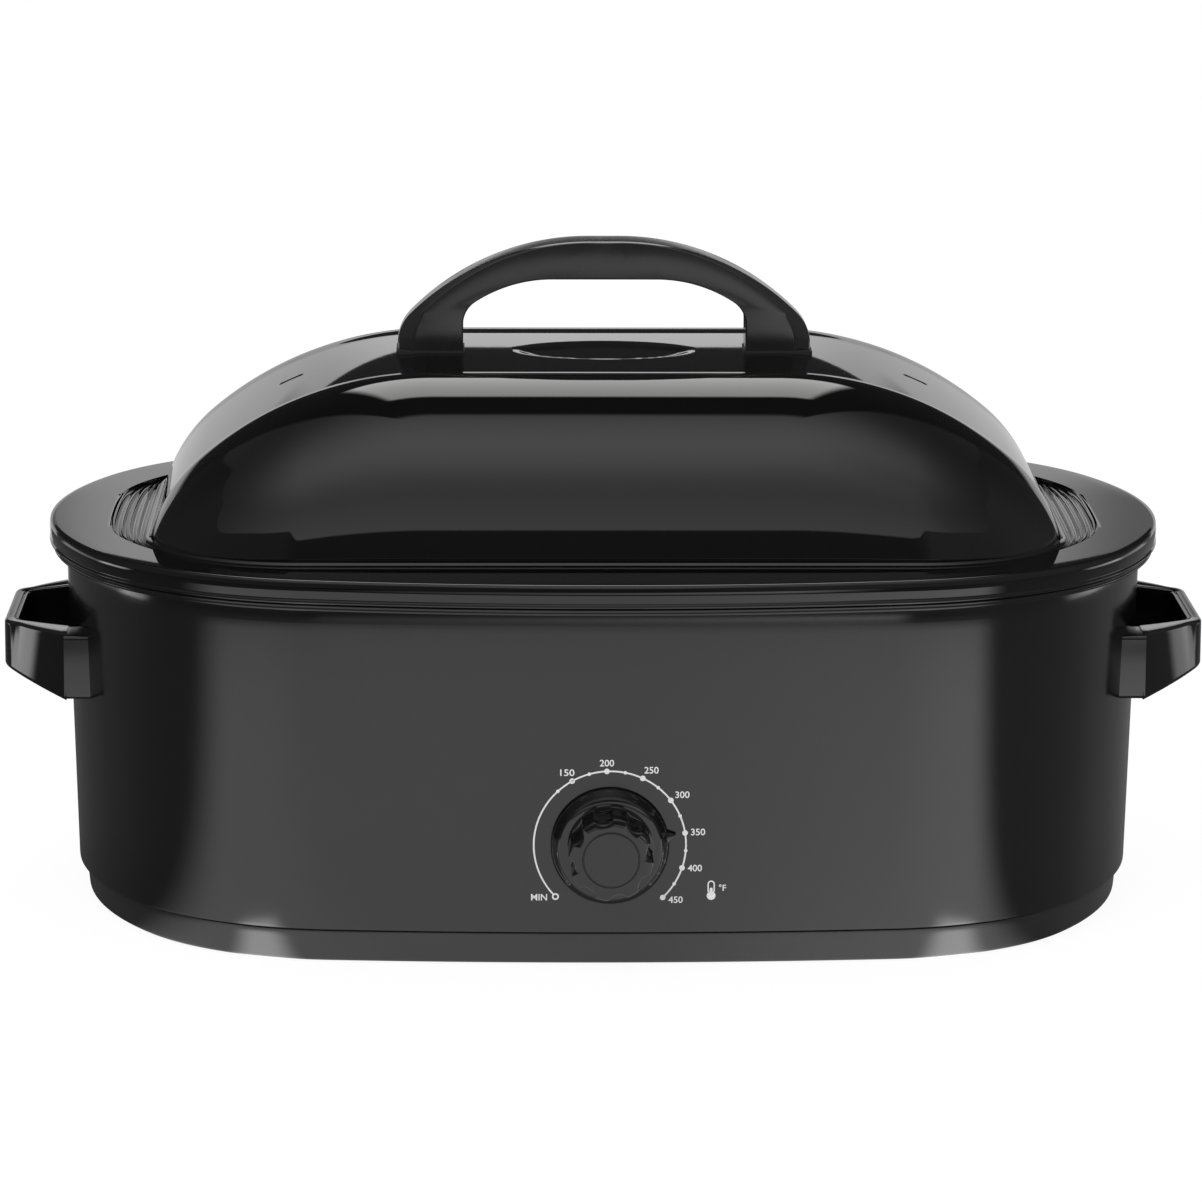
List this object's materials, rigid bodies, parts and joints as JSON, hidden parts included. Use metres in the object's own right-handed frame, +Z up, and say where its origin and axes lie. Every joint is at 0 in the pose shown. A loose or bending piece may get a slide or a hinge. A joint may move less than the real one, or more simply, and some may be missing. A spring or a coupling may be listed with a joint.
{
  "type": "roaster oven",
  "caption": "Oval free-standing electric roaster oven with a domed lift-off lid, arched lid handle, removable pan, wire rack, loop side handles and a front control knob.",
  "frame": {"origin": "bottom centre of the whole oven, between its feet on the surface it stands on", "axes": "+Z up, -Y towards the cook (the knob faces -Y), +X to the cook's right along the oven's length"},
  "size_m": [0.596, 0.4104, 0.326],
  "materials": {
    "wrap_paint": "satin black painted steel",
    "base_plastic": "dark grey moulded plastic",
    "handle_plastic": "gloss black heat-resistant plastic",
    "lid_enamel": "gloss black enamelled steel",
    "pan_enamel": "gloss black enamelled steel",
    "aluminised_steel": "aluminised steel sheet",
    "bright_aluminium": "bright rolled sheet",
    "heater_foil": "heater wire in a foil faced strip",
    "rack_chrome": "chrome-plated wire",
    "screw_steel": "zinc-plated steel",
    "foot_rubber": "matt black rubber",
    "gasket_rubber": "heat-proof pad",
    "glass_fibre": "glass fibre blanket",
    "thermostat_ceramic": "ceramic-filled moulding",
    "brass": "turned",
    "gland_plastic": "black moulded plastic",
    "lead_sleeve": "braided heat-proof sleeve",
    "earth_sleeve": "green insulated lead"
  },
  "bodies": {
    "housing": {"band_spring_lower": "screw_steel", "band_spring_upper": "screw_steel", "base_ring": "base_plastic", "base_screw_back_left": "screw_steel", "base_screw_back_right": "screw_steel", "base_screw_front_left": "screw_steel", "base_screw_front_right": "screw_steel", "bottom_plate": "aluminised_steel", "centre_stud": "screw_steel", "cord_gland": "gland_plastic", "earth_screw": "screw_steel", "foot_back_left": "foot_rubber", "foot_back_right": "foot_rubber", "foot_front_left": "foot_rubber", "foot_front_right": "foot_rubber", "handle_screw_back_left": "screw_steel", "handle_screw_back_right": "screw_steel", "handle_screw_front_left": "screw_steel", "handle_screw_front_right": "screw_steel", "heat_reflector": "bright_aluminium", "heater_band": "heater_foil", "insulation": "glass_fibre", "lead_earth": "earth_sleeve", "lead_live": "lead_sleeve", "lead_load": "lead_sleeve", "lead_neutral": "lead_sleeve", "liner": "aluminised_steel", "outer_wrap": "wrap_paint", "side_handle_left": "handle_plastic", "side_handle_right": "handle_plastic", "spacer_lower": "screw_steel", "spacer_upper": "screw_steel", "stud_nut": "screw_steel", "terminal_block": "thermostat_ceramic", "thermostat_body": "thermostat_ceramic", "thermostat_bracket": "aluminised_steel", "thermostat_nut": "brass"},
    "pan": {"removable_pan": "pan_enamel"},
    "lid": {"lid_shell": "lid_enamel", "lid_handle": "handle_plastic", "lid_gasket_left": "gasket_rubber", "lid_gasket_right": "gasket_rubber", "lid_washer_left": "screw_steel", "lid_washer_right": "screw_steel", "lid_screw_left": "screw_steel", "lid_screw_right": "screw_steel"},
    "rack": {"rack": "rack_chrome"},
    "knob": {"control_knob": "handle_plastic", "thermostat_shaft": "brass"}
  },
  "joints": [
    {"name": "pan_lift", "type": "slide", "parent": "housing", "child": "pan", "axis": [0, 0, 1], "range_m": [0, 0.16]},
    {"name": "lid_lift", "type": "slide", "parent": "pan", "child": "lid", "axis": [0, 0, 1], "range_m": [0, 0.2]},
    {"name": "rack_lift", "type": "slide", "parent": "pan", "child": "rack", "axis": [0, 0, 1], "range_m": [0, 0.15]},
    {"name": "knob_turn", "type": "hinge", "parent": "housing", "child": "knob", "pos_m": [0, -0.17459, 0.0595], "axis": [0, -1, 0], "range_deg": [-55, 215]}
  ]
}
